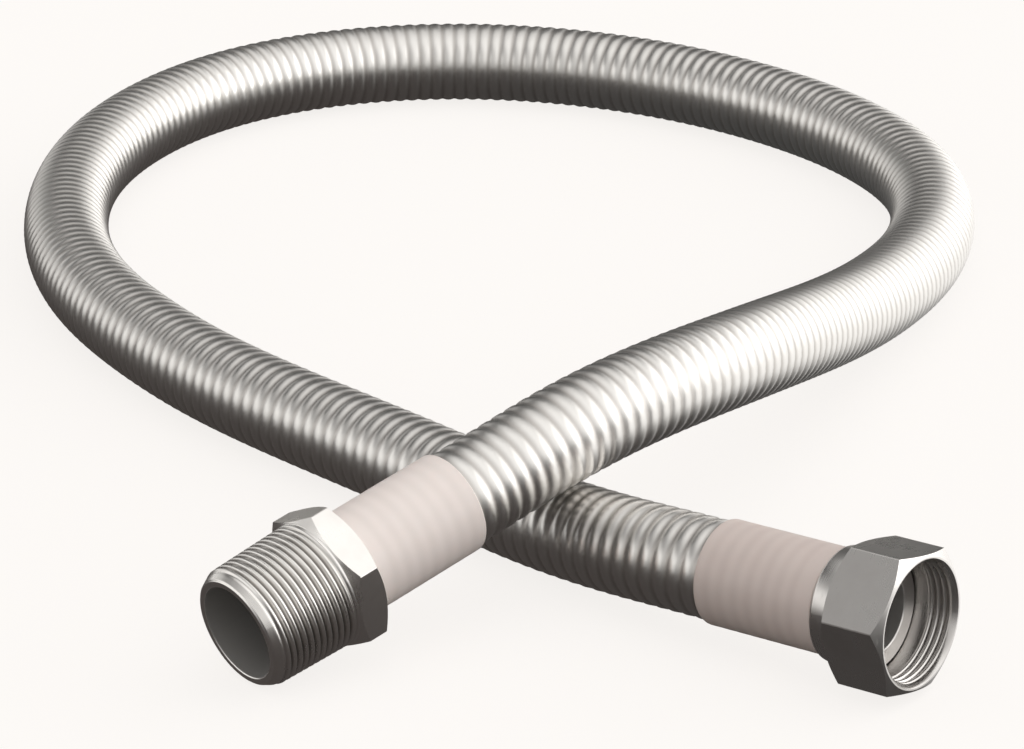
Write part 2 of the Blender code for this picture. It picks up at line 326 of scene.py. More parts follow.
@dataclass(frozen=True)
class MachinedSteel:
    """Stainless steel turned on a lathe, with fine rings round the axis, a few handling marks, and painted
    shade in its thread roots and its bore.
    """

    name: str
    bore_radius: float
    colour: Colour = (0.74, 0.72, 0.70)
    shade: Colour = (0.50, 0.47, 0.45)
    # The thread root colour is painted shade, darkening the steel down in the thread's grooves.
    thread_root_painted_shade: Colour = (0.16, 0.145, 0.135)
    root_painted_shade: float = 0.9
    root_sharpness: float = 1.5
    # The bore colour is painted shade: the steel inside a bore is made dark and less metallic.
    bore: Colour = (0.30, 0.29, 0.28)
    bore_edge: float = 0.1 * MM
    bore_roughness: float = 0.3
    bore_metal_loss: float = 0.8
    cloud_scale: float = 140.0
    wear_start: float = 0.42
    wear_gain: float = 0.9
    ring_scale: Stretch = (6.0, 6.0, 5200.0)
    mark_scale: Stretch = (900.0, 260.0, 2600.0)
    mark_start: float = 0.66
    mark_gain: float = 8.0
    polish: float = 0.20
    cloud_roughness: float = 0.10
    ring_roughness: float = 0.08
    mark_roughness: float = 0.18
    ring_height: float = 0.5
    mark_height: float = 0.3
    bump_strength: float = 0.3
    bump_height: float = 0.03 * MM

    def material(self) -> bpy.types.Material:
        """Make the material.

        Returns:
            The material, which any piece of this finish can share.
        """
        material, graph = new_material(self.name, {})
        place = graph.place()
        cloud = graph.noise(place, self.cloud_scale)
        rings = graph.noise(graph.stretched(place, self.ring_scale), 1.0, detail=2.0)
        marks = graph.noise(graph.stretched(place, self.mark_scale), 1.0, detail=4.0)
        scratches = ((marks - self.mark_start) * self.mark_gain).clamped()
        wear = ((cloud - self.wear_start) * self.wear_gain).clamped()
        # Painted shade darkens the colour towards each thread root.
        root = graph.attribute("groove") ** self.root_sharpness * self.root_painted_shade
        cut = graph.blend(root, graph.blend(wear, self.colour, self.shade), self.thread_root_painted_shade)
        # Painted shade inside the bore: a dark, less metallic colour there, with a rougher finish too.
        depth = self.bore_radius + self.bore_edge - graph.from_axis(place)
        inside = (depth / self.bore_edge).clamped()
        turned = self.polish + cloud * self.cloud_roughness + rings * self.ring_roughness
        height = rings * self.ring_height + scratches * self.mark_height
        feed(
            graph,
            {
                "Base Color": graph.blend(inside, cut, self.bore),
                "Metallic": 1.0 - inside * self.bore_metal_loss,
                "Roughness": turned + scratches * self.mark_roughness + inside * self.bore_roughness,
                "Normal": graph.bump(height, self.bump_strength, self.bump_height),
            },
        )
        return material


@dataclass(frozen=True)
class ShrinkFilm:
    """Thin milky heat-shrink film, with painted shade darkening it over each groove beneath it."""

    name: str
    pale: Colour
    mottle_and_painted_shade: Colour
    translucency: float = 0.12
    light_reach: Colour = (1.2 * MM, 0.8 * MM, 0.7 * MM)
    shine: float = 0.45
    # The band share is painted shade over the grooves beneath the film.
    band_painted_shade: float = 0.3
    cloud_tone: float = 0.7
    cloud_start: float = 0.45
    cloud_scale: float = 120.0
    grain_scale: float = 1600.0
    roughness: float = 0.38
    cloud_roughness: float = 0.14
    grain_strength: float = 0.2
    grain_height: float = 0.03 * MM

    def material(self) -> bpy.types.Material:
        """Make the material.

        Returns:
            The material, which any piece of this finish can share.
        """
        constants = {
            "Metallic": 0.0,
            "Subsurface Weight": self.translucency,
            "Subsurface Radius": self.light_reach,
            "Subsurface Scale": 1.0,
            "Specular IOR Level": self.shine,
        }
        material, graph = new_material(self.name, constants)
        place = graph.place()
        band = graph.attribute("groove")
        cloud = graph.noise(place, self.cloud_scale)
        grain = graph.noise(place, self.grain_scale, detail=2.0)
        # Painted shade over the grooves under the film, plus a random cloudy tone.
        tone = (band * self.band_painted_shade + (cloud - self.cloud_start) * self.cloud_tone).clamped()
        feed(
            graph,
            {
                "Base Color": graph.blend(tone, self.pale, self.mottle_and_painted_shade),
                "Roughness": self.roughness + cloud * self.cloud_roughness,
                "Normal": graph.bump(grain, self.grain_strength, self.grain_height),
            },
        )
        return material


def fading(value: float, start: float, stop: float) -> float:
    """Smooth step from 0 at start to 1 at stop."""
    share = min(max((value - start) / (stop - start), 0.0), 1.0)
    return share * share * (3 - 2 * share)


def angles_round(columns: int) -> np.ndarray:
    """Even angles of the points of a round ring."""
    return np.linspace(0.0, math.tau, columns, endpoint=False)


def linked(name: str, data: bpy.types.ID) -> bpy.types.Object:
    """New object with the given data, linked to the scene.

    Args:
        name: The object's name.
        data: Its mesh, camera or light.

    Returns:
        The object.
    """
    obj = bpy.data.objects.new(name, data)
    bpy.context.scene.collection.objects.link(obj)
    return obj


def aim(obj: bpy.types.Object, direction: Vector) -> None:
    """Turn a camera or a lamp to look along a direction."""
    obj.rotation_mode = "QUATERNION"
    obj.rotation_quaternion = direction.to_track_quat("-Z", "Y")


@dataclass
class RingStack:
    """Closed rings of points, each joined to the next one by a band of faces.

    The last ring is joined to the first one, so every piece is a tube with a real wall.
    """

    name: str
    rings: list[np.ndarray] = field(default_factory=list)
    places: list[np.ndarray] = field(default_factory=list)
    grooves: list[np.ndarray] = field(default_factory=list)
    sharp_rings: list[bool] = field(default_factory=list)
    edged_rings: list[bool] = field(default_factory=list)

    def add(
        self,
        points: np.ndarray,
        place: np.ndarray,
        groove: np.ndarray | float = 0.0,
        sharp: bool = False,
        edged: bool = False,
    ) -> None:
        """Add a ring.

        Args:
            points: The ring's points, one row each.
            place: The points in the piece's own straight coordinates, which the finish is laid by.
            groove: How deep each point lies in a groove, from 0 to 1.
            sharp: Whether the ring is a crisp edge.
            edged: Whether the corner lines from this ring to the next are crisp edges.
        """
        self.rings.append(points)
        self.places.append(place)
        self.grooves.append(np.broadcast_to(np.asarray(groove, float), (len(points),)))
        self.sharp_rings.append(sharp)
        self.edged_rings.append(edged)

    def build(self, material: bpy.types.Material, corner_columns: Sequence[int] = ()) -> bpy.types.Object:
        """Make the object and dress it.

        Args:
            material: Its material.
            corner_columns: Places round a ring where an edged band has its corners.

        Returns:
            The object, linked to the scene.
        """
        points = np.concatenate(self.rings)
        faces = self._faces(points)
        mesh = bpy.data.meshes.new(self.name)
        mesh.from_pydata(points.tolist(), [], faces.tolist())
        place = mesh.attributes.new("place", "FLOAT_VECTOR", "POINT")
        place.data.foreach_set("vector", np.concatenate(self.places).ravel().astype(np.float32))
        groove = mesh.attributes.new("groove", "FLOAT", "POINT")
        groove.data.foreach_set("value", np.concatenate(self.grooves).astype(np.float32))
        mesh.shade_smooth()
        self._mark_edges(mesh, corner_columns)
        mesh.materials.append(material)
        return linked(self.name, mesh)

    def _faces(self, points: np.ndarray) -> np.ndarray:
        """Four-sided faces between neighbouring rings, facing out.

        Args:
            points: All points, ring by ring.

        Returns:
            One row of four point numbers for each face.
        """
        count, around = len(self.rings), len(self.rings[0])
        grid = np.arange(count * around).reshape(count, around)
        below, beside = np.roll(grid, -1, axis=0), np.roll(grid, -1, axis=1)
        corner = np.roll(below, -1, axis=1)
        faces = np.stack([grid, beside, corner, below], axis=-1).reshape(-1, 4)
        a, b, c, d = (points[faces[:, i]] for i in range(4))
        volume = np.einsum("ij,ij->", a, np.cross(b, c)) + np.einsum("ij,ij->", a, np.cross(c, d))
        return faces if volume > 0 else faces[:, ::-1]

    def _mark_edges(self, mesh: bpy.types.Mesh, corner_columns: Sequence[int]) -> None:
        """Mark the crisp edges.

        Args:
            mesh: The built mesh.
            corner_columns: Places round a ring where an edged band has its corners.
        """
        count, around = len(self.rings), len(self.rings[0])
        ends = np.empty(len(mesh.edges) * 2, np.int32)
        mesh.edges.foreach_get("vertices", ends)
        ends = np.sort(ends.reshape(-1, 2), axis=1)
        ring, column = ends // around, ends % around
        along = ring[:, 0] == ring[:, 1]
        upper = np.where((ring[:, 0] == 0) & (ring[:, 1] == count - 1), count - 1, ring[:, 0])
        cornered = np.isin(column[:, 0], list(corner_columns))
        sharp = np.where(
            along,
            np.array(self.sharp_rings)[ring[:, 0]],
            np.array(self.edged_rings)[upper] & cornered,
        )
        attribute = mesh.attributes.new("sharp_edge", "BOOLEAN", "EDGE")
        attribute.data.foreach_set("value", sharp)


@dataclass(frozen=True)
class HoseEnd:
    """A fitting's own frame: its mouth's centre, and the way that the mouth points."""

    mouth: Vector
    axis: Vector

    def placed(self, points: np.ndarray) -> np.ndarray:
        """Points given with +Z out of the mouth, moved to where the fitting lies."""
        turn = np.array(self.axis.to_track_quat("Z", "Y").to_matrix())
        return points @ turn.T + np.array(self.mouth)

    def point(self, height: float) -> np.ndarray:
        """Point on the axis, at a height from the mouth."""
        return np.array(self.mouth + self.axis * height)


@dataclass(frozen=True)
class Hexagon:
    """Hexagon with conical chamfers, seen along its axis."""

    width: float
    turn: float
    face_share: float = 0.97
    chamfer: float = math.radians(30)
    edge_half_width: float = 0.14 * MM
    steps_per_flat: int = 11

    @property
    def face_radius(self) -> float:
        """Radius of the flat faces inside the chamfers."""
        return self.face_share * self.width / 2

    @property
    def edge_angle(self) -> float:
        """Half of the angle that a softened corner takes up."""
        return self.edge_half_width / (self.width / math.sqrt(3))

    def angles(self) -> np.ndarray:
        """Angles of a ring's points, with three at each corner.

        Returns:
            One angle for each point, corner by corner.
        """
        found = []
        for side in range(6):
            corner = math.radians(90 + 60 * side) + self.turn
            inner = np.linspace(0, math.radians(60), self.steps_per_flat + 1)[1:-1]
            found += [corner - self.edge_angle, corner, corner + self.edge_angle]
            found += list(corner + inner)
        return np.array(found)

    def corner_columns(self) -> list[int]:
        """Places in a ring of the points on each side of a corner."""
        stride = 2 + self.steps_per_flat
        return [side * stride + offset for side in range(6) for offset in (0, 2)]

    def radii(self) -> np.ndarray:
        """Distance from the axis of each point of a ring on the flats.

        Returns:
            One radius for each point.
        """
        from_flat = (self.angles() - math.radians(120) - self.turn) % math.radians(60)
        from_flat = np.minimum(from_flat, math.radians(60) - from_flat)
        radii = self.width / 2 / np.cos(from_flat)
        centre = np.arange(6) * (2 + self.steps_per_flat) + 1
        radii[centre] = radii[centre - 1] * math.cos(self.edge_angle)
        return radii

    def drops(self) -> np.ndarray:
        """How far below the face the chamfer meets each point of the flats."""
        return (self.radii() - self.face_radius) * math.tan(self.chamfer)


@dataclass(frozen=True)
class Thread:
    """Right-handed pipe thread with broad crests, as fine as the photograph shows."""

    side: ThreadSide
    pitch: float = 1.45 * MM
    depth: float = 0.75 * MM
    sharpness: float = 1.6
    rows_per_turn: int = 12

    def depths(self, first: float, last: float) -> np.ndarray:
        """Depths of the rings that the thread takes from one depth to another."""
        return np.linspace(first, last, round(abs(last - first) / self.pitch * self.rows_per_turn))

    def offset(self, angles: np.ndarray, height: float) -> tuple[np.ndarray, np.ndarray]:
        """Shape of the thread at one height.

        Args:
            angles: Angles round the axis.
            height: Height from the mouth.

        Returns:
            Change of radius and depth share in the groove, for each angle.
        """
        phase = height / self.pitch - angles / math.tau
        groove = (0.5 - 0.5 * np.cos(math.tau * phase)) ** self.sharpness
        return self.side.value * self.depth * groove, groove


@dataclass
class TurnedPiece:
    """Piece made of rings round the axis of one end of the hose."""

    end: HoseEnd
    angles: np.ndarray
    stack: RingStack

    def ring(
        self,
        radius: np.ndarray | float,
        height: np.ndarray | float,
        groove: np.ndarray | float = 0.0,
        sharp: bool = False,
        edged: bool = False,
    ) -> None:
        """Add a ring.

        Args:
            radius: Distance from the axis, one number or one for each point.
            height: Height from the mouth, likewise.
            groove: Depth share in a groove, likewise.
            sharp: Whether the ring is a crisp edge.
            edged: Whether the corner lines from this ring to the next are crisp edges.
        """
        place = np.stack(
            [
                radius * np.cos(self.angles),
                radius * np.sin(self.angles),
                np.broadcast_to(np.asarray(height, float), self.angles.shape),
            ],
            axis=1,
        )
        self.stack.add(self.end.placed(place), place, groove, sharp, edged)

    def profile(self, *corners: tuple[float, float]) -> None:
        """Add a crisp ring at each radius and height."""
        for radius, height in corners:
            self.ring(radius, height, sharp=True)

    def cut(self, thread: Thread, depths: np.ndarray, radii: np.ndarray, fades: Fades) -> None:
        """Add the rings of a thread.

        Args:
            thread: The thread.
            depths: Depth of each ring behind the mouth.
            radii: Radius of each ring before the thread is cut.
            fades: Depths that each fade runs between, from nothing to the full thread.
        """
        for depth, radius in zip(depths, radii):
            strength = math.prod(fading(depth, start, stop) for start, stop in fades)
            offset, groove = thread.offset(self.angles, -depth)
            self.ring(radius + offset * strength, -depth, groove * strength)

    def flats(self, hexagon: Hexagon, front: float, back: float) -> None:
        """Add the rings of a chamfered hexagon.

        Args:
            hexagon: The hexagon.
            front: Height of its front face.
            back: Height of its back face.
        """
        radii, drops = hexagon.radii(), hexagon.drops()
        self.ring(radii, front - drops, sharp=True, edged=True)
        self.ring(radii, back + drops, sharp=True)
        self.ring(hexagon.face_radius, back, sharp=True)


def install(obj: bpy.types.Object, body: str, node: str) -> bpy.types.Object:
    """Put a piece in a node's place and make it move with the node's body.

    Args:
        obj: The new piece.
        body: The body that it rides on.
        node: The node that it stands for, which is hidden.

    Returns:
        The same piece.
    """
    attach(obj, body)
    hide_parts(node)
    LOG.info("%s: %d points, %d faces", obj.name, len(obj.data.vertices), len(obj.data.polygons))
    return obj


@dataclass
class Nipple:
    """Hexagon nipple with its taper thread, which the tube is welded to."""

    end: HoseEnd
    mouth_radius: float = 11.5 * MM
    crest_radius: float = 12.9 * MM
    taper: float = 1 / 32
    thread_length: float = 20.2 * MM
    lead_length: float = 2.6 * MM
    hex_length: float = 7.0 * MM
    bore_radius: float = 10.0 * MM
    bore_depth: float = 19.0 * MM
    bore_cone: float = 3.0 * MM
    tube_bore: float = 8.1 * MM
    neck_radius: float = 10.2 * MM
    neck_length: float = 3.0 * MM
    fade_before_crest: float = 1.3 * MM
    fade_after_crest: float = 0.7 * MM
    runout: float = 1.6 * MM
    undercut: float = 0.1 * MM
    ease: float = 0.2 * MM
    hexagon: Hexagon = Hexagon(width=27.5 * MM, turn=math.radians(-6.0))
    thread: Thread = Thread(ThreadSide.OUTSIDE)

    @property
    def back(self) -> float:
        """Height of the hexagon's back face."""
        return -(self.thread_length + self.hex_length)

    @property
    def weld(self) -> float:
        """Height of the face that the tube is welded to."""
        return self.back - self.neck_length

    def build(self, material: bpy.types.Material) -> bpy.types.Object:
        """Make the nipple.

        Args:
            material: Its material.

        Returns:
            The object.
        """
        piece = TurnedPiece(self.end, self.hexagon.angles(), RingStack("hex_nipple"))
        piece.profile(
            (self.bore_radius, -self.ease),
            (self.bore_radius + self.ease, 0.0),
            (self.mouth_radius - self.ease, 0.0),
            (self.mouth_radius, -self.ease),
        )
        self._threaded_part(piece)
        thread_end = self.crest_radius + (self.thread_length - self.lead_length) * self.taper
        piece.profile((thread_end + self.ease, -self.thread_length - self.undercut))
        piece.flats(self.hexagon, -self.thread_length, self.back)
        piece.profile(
            (self.neck_radius, self.back),
            (self.neck_radius, self.weld),
            (self.tube_bore, self.weld),
            (self.tube_bore, -self.bore_depth - self.bore_cone),
            (self.bore_radius, -self.bore_depth),
        )
        return piece.stack.build(material, self.hexagon.corner_columns())

    def _threaded_part(self, piece: TurnedPiece) -> None:
        """Rings of the plain lead and of the thread, which fades in after the lead and out at its end.

        Args:
            piece: The piece that gets the rings.
        """
        depths = self.thread.depths(self.ease, self.thread_length)[1:]
        lead_slope = (self.crest_radius - self.mouth_radius) / self.lead_length
        tapered = self.crest_radius + (depths - self.lead_length) * self.taper
        lead = self.mouth_radius + depths * lead_slope
        fades = (
            (self.lead_length - self.fade_before_crest, self.lead_length + self.fade_after_crest),
            (self.thread_length, self.thread_length - self.runout),
        )
        piece.cut(self.thread, depths, np.minimum(tapered, lead), fades)


@dataclass
class UnionNut:
    """Union nut: chamfered hexagon, round collar and a threaded socket."""

    end: HoseEnd
    hex_length: float = 14.2 * MM
    collar_radius: float = 11.8 * MM
    collar_length: float = 4.5 * MM
    thread_radius: float = 12.1 * MM
    thread_depth: float = 6.6 * MM
    mouth_radius: float = 12.9 * MM
    mouth_length: float = 1.0 * MM
    shoulder: float = 12.5 * MM
    hole_radius: float = 10.0 * MM
    fade_before_mouth: float = 0.9 * MM
    fade_past_mouth: float = 0.4 * MM
    runout: float = 1.0 * MM
    mouth_ease: float = 0.1 * MM
    collar_corner: float = 0.75 * MM
    ease: float = 0.25 * MM
    hexagon: Hexagon = Hexagon(width=27.5 * MM, turn=math.radians(20.0))
    thread: Thread = Thread(ThreadSide.INSIDE)

    @property
    def back(self) -> float:
        """Height of the collar's back face."""
        return -(self.hex_length + self.collar_length)

    def build(self, material: bpy.types.Material) -> bpy.types.Object:
        """Make the nut.

        Args:
            material: Its material.

        Returns:
            The object.
        """
        piece = TurnedPiece(self.end, self.hexagon.angles(), RingStack("turning_nut"))
        piece.profile((self.mouth_radius + self.mouth_ease, 0.0), (self.hexagon.face_radius, 0.0))
        piece.flats(self.hexagon, 0.0, -self.hex_length)
        self._collar(piece)
        self._socket(piece)
        return piece.stack.build(material, self.hexagon.corner_columns())

    def _collar(self, piece: TurnedPiece) -> None:
        """Rings of the round collar, with a rounded back edge, and the hole for the tail.

        Args:
            piece: The piece that gets the rings.
        """
        piece.profile((self.collar_radius, -self.hex_length))
        for angle in np.linspace(0.0, math.pi / 2, 4):
            radius = self.collar_radius - self.collar_corner * (1 - math.cos(angle))
            piece.ring(radius, self.back + self.collar_corner * (1 - math.sin(angle)))
        piece.profile(
            (self.hole_radius + self.ease, self.back),
            (self.hole_radius, self.back + self.ease),
            (self.hole_radius, -self.shoulder),
        )

    def _socket(self, piece: TurnedPiece) -> None:
        """Rings of the smooth wall, the thread and the countersunk mouth.

        Args:
            piece: The piece that gets the rings.
        """
        piece.profile((self.thread_radius, -self.shoulder))
        depths = self.thread.depths(self.thread_depth, self.mouth_length)
        fades = (
            (self.thread_depth, self.thread_depth - self.runout),
            (self.mouth_length - self.fade_past_mouth, self.mouth_length + self.fade_before_mouth),
        )
        piece.cut(self.thread, depths, np.full(len(depths), self.thread_radius), fades)


@dataclass
class TailPiece:
    """Flanged tail that the nut draws up, which the tube is welded to."""

    end: HoseEnd
    nut: UnionNut
    flange_radius: float = 11.7 * MM
    flange_depth: float = 9.4 * MM
    flange_thickness: float = 2.8 * MM
    neck_radius: float = 9.7 * MM
    shoulder_radius: float = 10.2 * MM
    shoulder_length: float = 3.0 * MM
    bore_radius: float = 8.1 * MM
    ease: float = 0.25 * MM
    columns: int = 72

    @property
    def weld(self) -> float:
        """Height of the face that the tube is welded to."""
        return self.nut.back - SEAT_GAP - self.shoulder_length

    def build(self, material: bpy.types.Material) -> bpy.types.Object:
        """Make the tail piece.

        Args:
            material: Its material.

        Returns:
            The object.
        """
        angles = angles_round(self.columns)
        piece = TurnedPiece(self.end, angles, RingStack("flanged_tail"))
        front, back = -self.flange_depth, -self.flange_depth - self.flange_thickness
        shoulder = self.nut.back - SEAT_GAP
        piece.profile(
            (self.bore_radius, front - self.ease),
            (self.bore_radius + self.ease, front),
            (self.flange_radius - self.ease, front),
            (self.flange_radius, front - self.ease),
            (self.flange_radius, back),
            (self.neck_radius, back),
            (self.neck_radius, shoulder),
            (self.shoulder_radius, shoulder),
            (self.shoulder_radius, self.weld),
            (self.bore_radius, self.weld),
        )
        return piece.stack.build(material)


@dataclass
class Corrugation:
    """Wave of the corrugated tube along its length, with broad crests and narrow grooves."""

    crest_radius: float = 10.3 * MM
    depth: float = 0.30 * MM
    pitch: float = 3.4 * MM
    sharpness: float = 3.0
    phases: tuple[float, ...] = (0.0, 0.16, 0.29, 0.40, 0.5, 0.60, 0.71, 0.84)

    def groove(self, phase: np.ndarray) -> np.ndarray:
        """Depth share at a phase, 0 on a crest and 1 in a groove."""
        return np.abs(np.sin(math.pi * phase)) ** self.sharpness

    def radius(self, phase: np.ndarray) -> np.ndarray:
        """Outer radius at a phase."""
        return self.crest_radius - self.depth * self.groove(phase)


@dataclass
class Route:
    """The tube's centreline: a straight run out of each weld, and one smooth loop between them."""

    start: np.ndarray
    start_axis: np.ndarray
    finish: np.ndarray
    finish_axis: np.ndarray
    straight_run: float = 30.0 * MM
    samples_per_stretch: int = 40
    points: tuple[tuple[float, float, float], ...] = (
        (0.0857, -0.0924, 0.0318),
        (0.0885, -0.0653, 0.0340),
        (0.0873, -0.0382, 0.0318),
        (0.0826, -0.0118, 0.0273),
        (0.0760, 0.0143, 0.0218),
        (0.0690, 0.0403, 0.0169),
        (0.0614, 0.0662, 0.0133),
        (0.0527, 0.0906, 0.0112),
        (0.0401, 0.1148, 0.0104),
        (0.0230, 0.1355, 0.0103),
        (0.0010, 0.1510, 0.0103),
        (-0.0245, 0.1610, 0.0103),
        (-0.0510, 0.1655, 0.0103),
        (-0.0780, 0.1650, 0.0103),
        (-0.1040, 0.1590, 0.0103),
        (-0.1282, 0.1468, 0.0103),
        (-0.1478, 0.1283, 0.0103),
        (-0.1602, 0.1064, 0.0103),
        (-0.1658, 0.0800, 0.0103),
        (-0.1635, 0.0530, 0.0103),
        (-0.1550, 0.0270, 0.0103),
        (-0.1424, 0.0044, 0.0103),
        (-0.1250, -0.0175, 0.0103),
        (-0.1050, -0.0360, 0.0103),
        (-0.0820, -0.0510, 0.0103),
        (-0.0575, -0.0620, 0.0103),
        (-0.0315, -0.0705, 0.0103),
        (-0.0050, -0.0760, 0.0103),
        (0.0220, -0.0800, 0.0103),
        (0.0490, -0.0842, 0.01035),
        (0.0760, -0.0887, 0.0105),
        (0.1020, -0.0920, 0.0120),
    )

    def centreline(self) -> np.ndarray:
        """Dense points from weld to weld.

        Returns:
            The points in order, one row each.
        """
        loop_start = self.start + self.start_axis * self.straight_run
        loop_finish = self.finish - self.finish_axis * self.straight_run
        through = np.array([loop_start, *self.points, loop_finish])
        loop = self._smooth(through)
        return np.concatenate([self.start[None], loop, self.finish[None]])

    def _tangents(self, points: np.ndarray, spans: np.ndarray) -> np.ndarray:
        """Tangents of the smooth cubic curve through the points.

        Args:
            points: The points that the curve passes through.
            spans: The distance from each point to the next.

        Returns:
            One tangent for each point.
        """
        count = len(points)
        system = np.eye(count)
        sides = np.zeros((count, 3))
        sides[0], sides[-1] = self.start_axis, self.finish_axis
        for i in range(1, count - 1):
            before, after = spans[i - 1], spans[i]
            system[i, i - 1 : i + 2] = (after, 2 * (before + after), before)
            rise_before = (points[i] - points[i - 1]) / before
            rise_after = (points[i + 1] - points[i]) / after
            sides[i] = 3 * (after * rise_before + before * rise_after)
        return np.linalg.solve(system, sides)

    def _smooth(self, points: np.ndarray) -> np.ndarray:
        """Many points along the smooth curve through a few points.

        Args:
            points: The points that the curve passes through.

        Returns:
            The curve's points.
        """
        spans = np.linalg.norm(np.diff(points, axis=0), axis=1)
        tangents = self._tangents(points, spans)
        t = np.linspace(0.0, 1.0, self.samples_per_stretch, endpoint=False)[:, None]
        stretches = [
            (2 * t**3 - 3 * t**2 + 1) * points[i]
            + (t**3 - 2 * t**2 + t) * span * tangents[i]
            + (3 * t**2 - 2 * t**3) * points[i + 1]
            + (t**3 - t**2) * span * tangents[i + 1]
            for i, span in enumerate(spans)
        ]
        return np.concatenate([*stretches, points[-1:]])


@dataclass
class CorrugatedTube:
    """The annularly corrugated tube, with an open bore."""

    route: Route
    wave: Corrugation = field(default_factory=Corrugation)
    bore_radius: float = 8.1 * MM
    columns: int = 36
    bore_rings: int = 160

    def __post_init__(self) -> None:
        """Work out the centreline's dense points and how far along it each one lies."""
        self.line = self.route.centreline()
        steps = np.linalg.norm(np.diff(self.line, axis=0), axis=1)
        self.along = np.concatenate([[0.0], np.cumsum(steps)])

    @property
    def length(self) -> float:
        """Length of the centreline from weld to weld."""
        return float(self.along[-1])

    def centres(self, marks: np.ndarray) -> np.ndarray:
        """Points of the centreline at given lengths along it."""
        return np.stack([np.interp(marks, self.along, self.line[:, i]) for i in range(3)], axis=1)

    def marks(self) -> tuple[np.ndarray, np.ndarray]:
        """Lengths along the tube that get a ring, and the phase of the wave at each.

        Returns:
            The lengths, and the phases, which rise by 1 with each wave.
        """
        waves = round(self.length / self.wave.pitch)
        phases = (np.arange(waves)[:, None] + np.array(self.wave.phases)).ravel()
        phases = np.append(phases, waves)
        return phases * self.length / waves, phases

    def rings(self, marks: np.ndarray, radii: np.ndarray) -> np.ndarray:
        """Rings square to the centreline.

        Args:
            marks: Length along the tube of each ring.
            radii: Radius of each ring.

        Returns:
            The rings' points, ring by ring.
        """
        reach = 0.5 * MM
        ahead = self.centres(np.minimum(marks + reach, self.length))
        behind = self.centres(np.maximum(marks - reach, 0.0))
        tangents = ahead - behind
        tangents /= np.linalg.norm(tangents, axis=1)[:, None]
        side = np.cross(tangents, (0.0, 0.0, 1.0))
        side /= np.linalg.norm(side, axis=1)[:, None]
        up = np.cross(side, tangents)
        angles = angles_round(self.columns)
        spokes = (
            np.cos(angles)[None, :, None] * side[:, None]
            + np.sin(angles)[None, :, None] * up[:, None]
        )
        return self.centres(marks)[:, None] + radii[:, None, None] * spokes

    def _add_wall(
        self, stack: RingStack, marks: np.ndarray, radii: np.ndarray, grooves: np.ndarray
    ) -> None:
        """Add the rings of the outer or the inner wall.

        Args:
            stack: The stack that gets the rings.
            marks: Length along the tube of each ring.
            radii: Radius of each ring.
            grooves: Depth share of each ring in a groove.
        """
        angles = angles_round(self.columns)
        last = len(marks) - 1
        for i, points in enumerate(self.rings(marks, radii)):
            height = np.full(self.columns, marks[i])
            place = np.stack([radii[i] * np.cos(angles), radii[i] * np.sin(angles), height], axis=1)
            stack.add(points, place, grooves[i], sharp=i in (0, last))

    def build(self, material: bpy.types.Material) -> bpy.types.Object:
        """Make the tube.

        Args:
            material: Its material.

        Returns:
            The object.
        """
        stack = RingStack("hose_tube")
        marks, phases = self.marks()
        self._add_wall(stack, marks, self.wave.radius(phases), self.wave.groove(phases))
        inner_marks = np.linspace(self.length, 0.0, self.bore_rings)
        inner_radii = np.full(self.bore_rings, self.bore_radius)
        self._add_wall(stack, inner_marks, inner_radii, np.ones(self.bore_rings))
        return stack.build(material)


@dataclass
class Sleeve:
    """Film shrunk over a weld and the first corrugations, which show through it as faint bands, partly by
    a slight dent and partly by painted shade.
    """

    end: HoseEnd
    name: str
    top: float
    weld: float
    wave: Corrugation = field(default_factory=Corrugation)
    length: float = 28.0 * MM
    inner_radius: float = 10.5 * MM
    outer_radius: float = 10.9 * MM
    sag: float = 0.02 * MM
    band_start: float = 0.5 * MM
    band_full: float = 1.5 * MM
    edge: float = 0.12 * MM
    columns: int = 72
    rows: int = 112

    def build(self, material: bpy.types.Material) -> bpy.types.Object:
        """Make the sleeve.

        Args:
            material: Its material.

        Returns:
            The object.
        """
        angles = angles_round(self.columns)
        piece = TurnedPiece(self.end, angles, RingStack(self.name))
        for depth in np.linspace(self.edge, self.length - self.edge, self.rows):
            height = self.top - depth
            # The band is how deep a groove lies under the film; it dents the film slightly and drives the
            # film's painted shade.
            band = 0.5 - 0.5 * math.cos(math.tau * (self.weld - height) / self.wave.pitch)
            band *= fading(height, self.weld + self.band_start, self.weld - self.band_full)
            piece.ring(self.outer_radius - self.sag * band, height, band)
        last = self.top - self.length
        piece.profile(
            (self.outer_radius - self.edge, last),
            (self.inner_radius, last),
            (self.inner_radius, self.top),
            (self.outer_radius - self.edge, self.top),
        )
        return piece.stack.build(material)


@dataclass(frozen=True)
class Viewpoint:
    """The camera, at the photograph's angle."""

    location: tuple[float, float, float] = (0.6166, -0.775, 0.3861)
    azimuth: float = math.radians(38.5)
    elevation: float = math.radians(21.5)
    focal_pixels: float = 4581.0
    image_width: float = 1024.0
    sensor_width: float = 36.0
    nearest: float = 0.05
    farthest: float = 50.0

    def build(self) -> bpy.types.Object:
        """Make the camera and set it as the scene's own.

        Returns:
            The camera.
        """
        data = bpy.data.cameras.new("camera")
        data.sensor_width = self.sensor_width
        data.lens = self.focal_pixels / self.image_width * self.sensor_width
        data.clip_start = self.nearest
        data.clip_end = self.farthest
        camera = linked("camera", data)
        level = math.cos(self.elevation)
        back = Vector(
            (
                math.sin(self.azimuth) * level,
                -math.cos(self.azimuth) * level,
                math.sin(self.elevation),
            )
        )
        camera.location = self.location
        aim(camera, -back)
        bpy.context.scene.camera = camera
        return camera


def level_axis(azimuth: float) -> Vector:
    """Level direction at an angle round from the camera's side of the object, towards its right."""
    bearing = Viewpoint().azimuth + math.radians(azimuth)
    return Vector((math.sin(bearing), -math.cos(bearing), 0.0))


